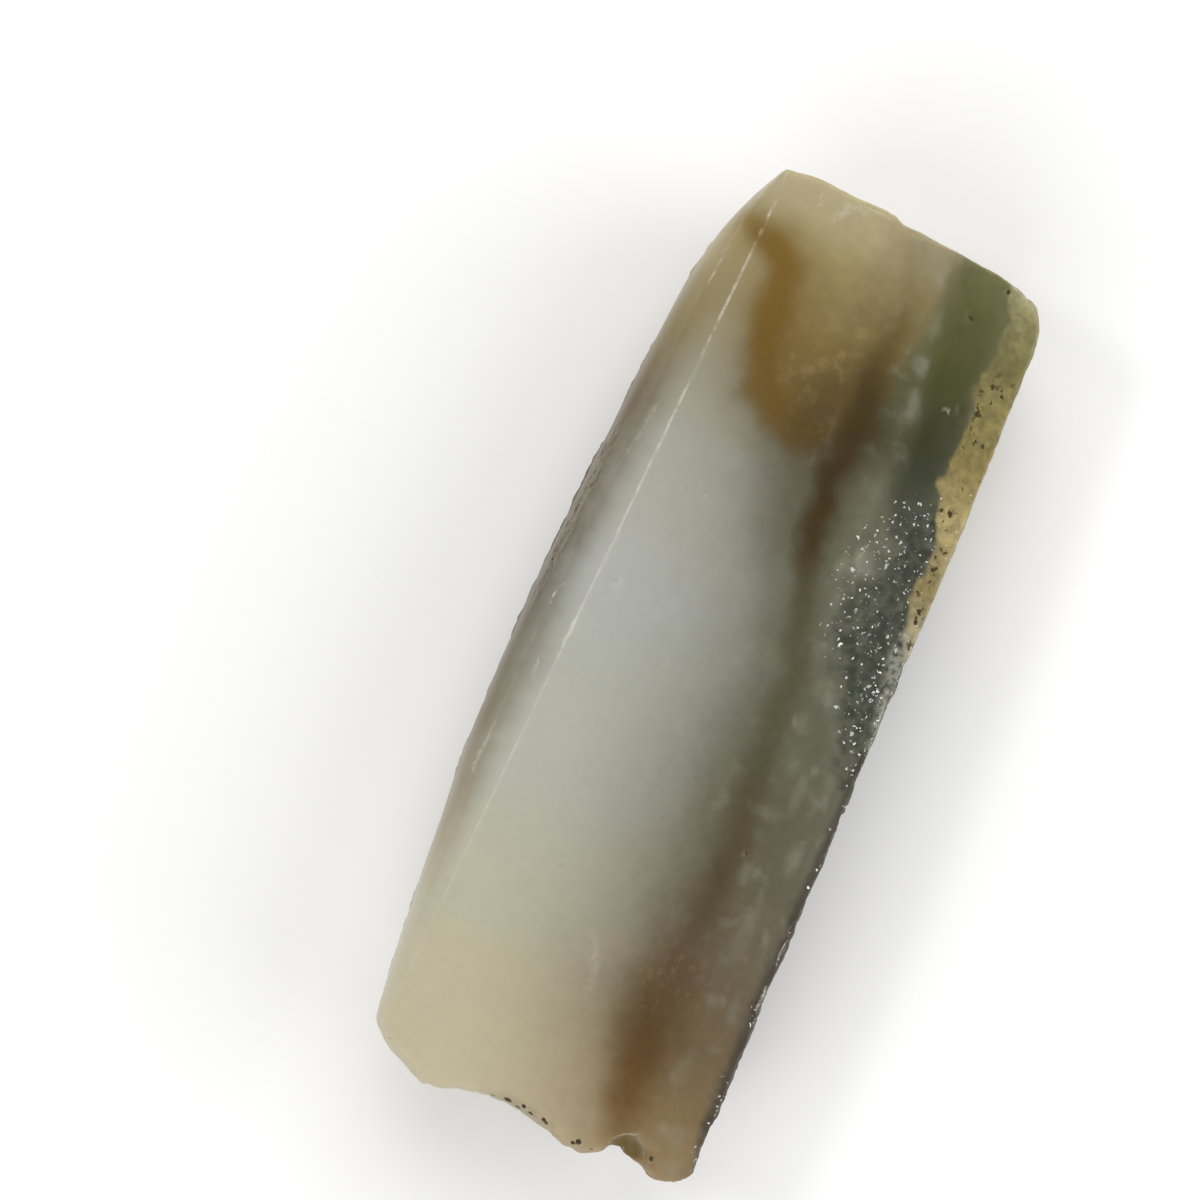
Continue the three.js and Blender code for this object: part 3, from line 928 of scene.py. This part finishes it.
def with_rough_covers(n, under, place, x):
    """Broken grain with its painted glints, the skin with its holes, scuffs, dark strips with painted shade,
    pale marks with painted highlights, the painted ridge highlight, and pits.
    """
    grains = n.step(n.noise(place, 1.0, detail=5.0, seed=31.0), 0.35, 0.75)
    grain_tone = n.mix(grains, GRAIN_DARK, GRAIN_PALE)
    result = n.mix(n.times(n.attribute("grain"), 0.8), under, grain_tone)
    result = n.mix(n.attribute("rind"), result, rind_colour(n, place, x))
    result = n.mix(scuff_marks(n, place), result, SCUFF_COLOUR)
    # painted shade along edges where the face turns down, with the dark grain by the skin side
    result = n.mix(n.attribute("grain_and_edge_shade"), result, GRAIN_AND_EDGE_SHADE_COLOUR)
    # pale marks broken into flakes: the stone's own marks, painted highlights and painted glints
    flaky = n.step(n.noise(place, 0.5, detail=3.0, seed=91.0), 0.3, 0.6)
    result = n.mix(n.times(n.attribute("pale_marks_and_highlights"), flaky), result, PALE_MARK_AND_HIGHLIGHT_COLOUR)
    # the painted highlight along the ridge's crest
    result = n.mix(painted_ridge_dashes(n, place), result, RIDGE_HIGHLIGHT_COLOUR)
    # painted glints on the broken grain
    result = n.mix(glint_cover(n, place), result, GLINT_COLOUR)
    ragged = n.total(n.attribute("pits"), n.centred_noise(place, 0.4, 0.5, seed=97.0))
    return n.mix(n.step(ragged, 0.3, 0.6), result, PIT_COLOUR)


def painted_ridge_dashes(n, place):
    """Painted highlight: short bright dashes along the crest, brighter in some stretches."""
    dashes = n.step(n.noise(place, 1.2, detail=4.0, roughness=0.65, seed=95.0), 0.32, 0.66)
    stretches = n.step(n.noise(place, 6.0, detail=2.0, seed=99.0), 0.38, 0.58)
    strength = n.math("MULTIPLY_ADD", stretches, 0.42, 0.25)
    return n.times(n.attribute("highlight_on_crest"), dashes, strength)


def rind_colour(n, place, x):
    """Blotchy skin, with dark holes that gather along its inner edge."""
    patches = n.step(n.noise(place, 1.1, detail=5.0, roughness=0.6, seed=41.0), 0.34, 0.68)
    tone = n.scaled(n.ramp(x, RIND_ALONG), n.math("MULTIPLY_ADD", patches, 0.44, 0.76))
    return n.mix(rind_holes(n, place, x), tone, RIND_HOLE)


def rind_holes(n, place, x):
    level = n.noise(place, 0.75, detail=4.0, roughness=0.6, seed=45.0)
    groups = n.centred_noise(place, 3.0, 0.12, detail=2.0, seed=47.0)
    level = n.total(level, groups, n.times(n.attribute("rind_rim"), 0.09))
    return n.times(n.step(level, 0.63, 0.7), n.step(x, 36.0, 33.0), n.attribute("rind"))


def scuff_marks(n, place):
    """Short slanting marks in the scuffed patch."""
    slanted = n.moved(place, 0.0, (0.8, 1.5, 1.0), math.radians(-22))
    marks = n.step(n.noise(slanted, 0.9, detail=4.0, roughness=0.6, seed=81.0), 0.5, 0.68)
    return n.times(marks, n.attribute("scuff"), 0.55)


def glint_cover(n, place):
    """Painted glints: small bright crystal faces in loose groups, as dense as the glints say."""
    groups = n.step(n.noise(place, 2.4, detail=2.0, seed=101.0), 0.38, 0.62)
    density = n.times(n.attribute("glints"), n.math("MULTIPLY_ADD", groups, 0.9, 0.5))
    bend = n.add("ShaderNodeTexNoise", {"Vector": place, "Scale": 3.0, "Detail": 1.0}).outputs["Color"]
    bent = n.add("ShaderNodeVectorMath", {0: place, 1: n.scaled(bend, 0.6)}, operation="ADD").outputs[0]
    small = glint_layer(n, bent, (3.3, 2.5, 2.9), 0.6, n.times(density, 0.36))
    large = glint_layer(n, bent, (1.6, 2.4, 2.0), -0.8, n.times(density, 0.22))
    return n.math("MAXIMUM", small, large)


def glint_layer(n, place, cells_per_mm, turn, share):
    """Painted glints on crystal faces of uneven size and brightness, that share of all the cells."""
    cell_place = n.moved(place, 0.0, cells_per_mm, turn)
    grains = n.add("ShaderNodeTexVoronoi", {"Vector": cell_place, "Scale": 1.0}, distance="MANHATTAN")
    chance = n.add("ShaderNodeSeparateColor", {0: grains.outputs["Color"]}).outputs
    is_lit = n.step(n.math("SUBTRACT", share, chance[0]), 0.0, 0.02)
    size = n.math("MULTIPLY_ADD", chance[1], 0.42, 0.14)
    core = n.step(n.math("SUBTRACT", size, grains.outputs["Distance"]), -0.06, 0.06)
    return n.times(is_lit, core, n.math("MULTIPLY_ADD", chance[2], 0.7, 0.3))


ROUGHNESS_BROKEN = 0.66
ROUGHNESS_POLISHED = 0.34
COAT_OF_POLISH = 0.11
# how high the finest grit and skin stand
FINE_GRIT = 0.1
FINE_SKIN = 0.006
# what is the same all over the stone
EVEN_SETTINGS = {
    "IOR": 1.61,
    "Specular IOR Level": 0.22,
    "Coat Roughness": 0.2,
    "Subsurface Weight": 0.8,
    "Subsurface Radius": (1.0, 0.95, 0.75),
    "Subsurface Scale": 0.0009,
}


def jade_material():
    material = bpy.data.materials.new("jade")
    material.use_nodes = True
    n = Nodes(material)
    shader = n.tree.nodes["Principled BSDF"]
    object_place = n.add("ShaderNodeTexCoord").outputs["Object"]
    place = n.add("ShaderNodeVectorMath", {0: object_place, "Scale": 1 / MM}, operation="SCALE")
    place = place.outputs[0]
    axes = n.add("ShaderNodeSeparateXYZ", {0: place}).outputs
    inner = stone_colour(n, place, axes)
    inner = n.mix(n.times(n.attribute("base"), 0.35), inner, BASE_PALE)
    n.put(shader.inputs["Base Color"], with_rough_covers(n, inner, place, axes[0]))
    polish = n.attribute("polish")
    uneven = n.centred_noise(place, 2.5, 0.05, detail=2.0, seed=51.0)
    smoother = ROUGHNESS_POLISHED - ROUGHNESS_BROKEN
    roughness = n.total(n.math("MULTIPLY_ADD", polish, smoother, ROUGHNESS_BROKEN), uneven)
    n.put(shader.inputs["Roughness"], roughness)
    n.put(shader.inputs["Normal"], fine_bump(n, place, polish))
    n.put(shader.inputs["Coat Weight"], n.math("MULTIPLY", polish, COAT_OF_POLISH))
    for name, value in EVEN_SETTINGS.items():
        shader.inputs[name].default_value = value
    return material


def fine_bump(n, place, polish):
    """Grain too fine for the mesh, as a height in millimetres."""
    rough = n.math("SUBTRACT", 1.0, polish)
    grit = n.times(n.noise(place, 0.5, detail=3.0, seed=61.0), FINE_GRIT, rough)
    skin = n.times(n.noise(place, 1.1, detail=3.0, seed=71.0), FINE_SKIN)
    height = n.total(grit, skin)
    bump = n.add("ShaderNodeBump", {"Height": height, "Strength": 1.0, "Distance": MM})
    return bump.outputs["Normal"]


# ---------------------------------------------------------------- floor, light and camera


# the picture is this wide, measured at the height of the stone's outline
FRAME_SPAN = 0.108
SILHOUETTE_HEIGHT = 0.019
CAMERA_HEIGHT = 0.42
CAMERA_TURN = math.radians(22.8)
# where the middle of the stone lies from the middle of the picture
STONE_RIGHT = 0.00915
STONE_UP = -0.0060
SENSOR = 36.0
NEAREST_SEEN = 0.01
FLOOR_WHITE = (0.9, 0.9, 0.9, 1)
FLOOR_ROUGHNESS = 0.9
FLOOR_HALF = 3.0
# the floor lies this little under the stone, so that the two faces stay apart
FLOOR_DROP = 0.00002
# the sky's strength falls from rim to top between these heights, as sines of the elevation
SKY_RIM = 0.75
SKY_TOP = 0.12
SKY_FALLS = (0.1, 0.85)
LAMP_DISTANCE = 1.0
# angles in degrees, size in metres and power in watts
LAMPS = [
    {"name": "key", "around": 15, "elevation": 50, "size": 0.9, "power": 5.0},
    {"name": "back", "around": 165, "elevation": 47, "size": 1.1, "power": 4.5},
    {"name": "side", "around": -75, "elevation": 38, "size": 0.9, "power": 4.4},
    {"name": "crest", "around": 88, "elevation": 58, "size": 0.16, "power": 1.2},
]


def make_floor():
    material = bpy.data.materials.new("floor")
    material.use_nodes = True
    shader = material.node_tree.nodes["Principled BSDF"]
    shader.inputs["Base Color"].default_value = FLOOR_WHITE
    shader.inputs["Roughness"].default_value = FLOOR_ROUGHNESS
    mesh = bpy.data.meshes.new("floor")
    corners = [(x * FLOOR_HALF, y * FLOOR_HALF, 0) for x, y in ((-1, -1), (1, -1), (1, 1), (-1, 1))]
    mesh.from_pydata(corners, [], [(0, 1, 2, 3)])
    mesh.materials.append(material)
    floor = bpy.data.objects.new("floor", mesh)
    floor.location.z = -FLOOR_DROP
    bpy.context.scene.collection.objects.link(floor)


def make_world():
    """A white studio, bright round the rim and dim overhead, where the polish would mirror it."""
    world = bpy.data.worlds.new("studio")
    world.use_nodes = True
    nodes = world.node_tree.nodes
    links = world.node_tree.links
    way = nodes.new("ShaderNodeTexCoord").outputs["Generated"]
    split = nodes.new("ShaderNodeSeparateXYZ")
    links.new(way, split.inputs[0])
    strength = nodes.new("ShaderNodeMapRange")
    strength.interpolation_type = "SMOOTHSTEP"
    strength.inputs["From Min"].default_value = SKY_FALLS[0]
    strength.inputs["From Max"].default_value = SKY_FALLS[1]
    strength.inputs["To Min"].default_value = SKY_RIM
    strength.inputs["To Max"].default_value = SKY_TOP
    links.new(split.outputs["Z"], strength.inputs["Value"])
    background = nodes["Background"]
    background.inputs["Color"].default_value = (1.0, 1.0, 1.0, 1)
    links.new(strength.outputs["Result"], background.inputs["Strength"])
    bpy.context.scene.world = world


def make_lamp(name, around, elevation, size, power):
    """A round soft lamp facing the stone, around degrees counter-clockwise from +X."""
    lamp = bpy.data.lights.new(name, "AREA")
    lamp.shape = "DISK"
    lamp.size = size
    lamp.energy = power
    holder = bpy.data.objects.new(name, lamp)
    flat = math.cos(math.radians(elevation))
    away = Vector(
        (
            flat * math.cos(math.radians(around)),
            flat * math.sin(math.radians(around)),
            math.sin(math.radians(elevation)),
        )
    )
    holder.location = away * LAMP_DISTANCE
    holder.rotation_euler = away.to_track_quat("Z", "Y").to_euler()
    bpy.context.scene.collection.objects.link(holder)


def make_camera():
    """Looks straight down, turned so that the stone leans as it does in the picture."""
    right = Vector((math.sin(CAMERA_TURN), -math.cos(CAMERA_TURN), 0))
    up = Vector((math.cos(CAMERA_TURN), math.sin(CAMERA_TURN), 0))
    back = Vector((0, 0, 1))
    low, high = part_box(NODE)
    middle = (low + high) / 2
    place = Vector((middle.x, middle.y, 0)) - right * STONE_RIGHT - up * STONE_UP
    place.z = CAMERA_HEIGHT
    data = bpy.data.cameras.new("camera")
    data.sensor_width = SENSOR
    data.lens = SENSOR * (CAMERA_HEIGHT - SILHOUETTE_HEIGHT) / FRAME_SPAN
    data.clip_start = NEAREST_SEEN
    camera = bpy.data.objects.new("camera", data)
    camera.matrix_world = Matrix.Translation(place) @ Matrix((right, up, back)).transposed().to_4x4()
    bpy.context.scene.collection.objects.link(camera)
    bpy.context.scene.camera = camera


make_camera()
make_floor()
make_world()
for lamp in LAMPS:
    make_lamp(**lamp)
bpy.context.scene.view_settings.view_transform = "Standard"

stone = make_stone(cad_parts[NODE])
stone.data.materials.append(jade_material())
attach(stone, "root")
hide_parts(NODE)
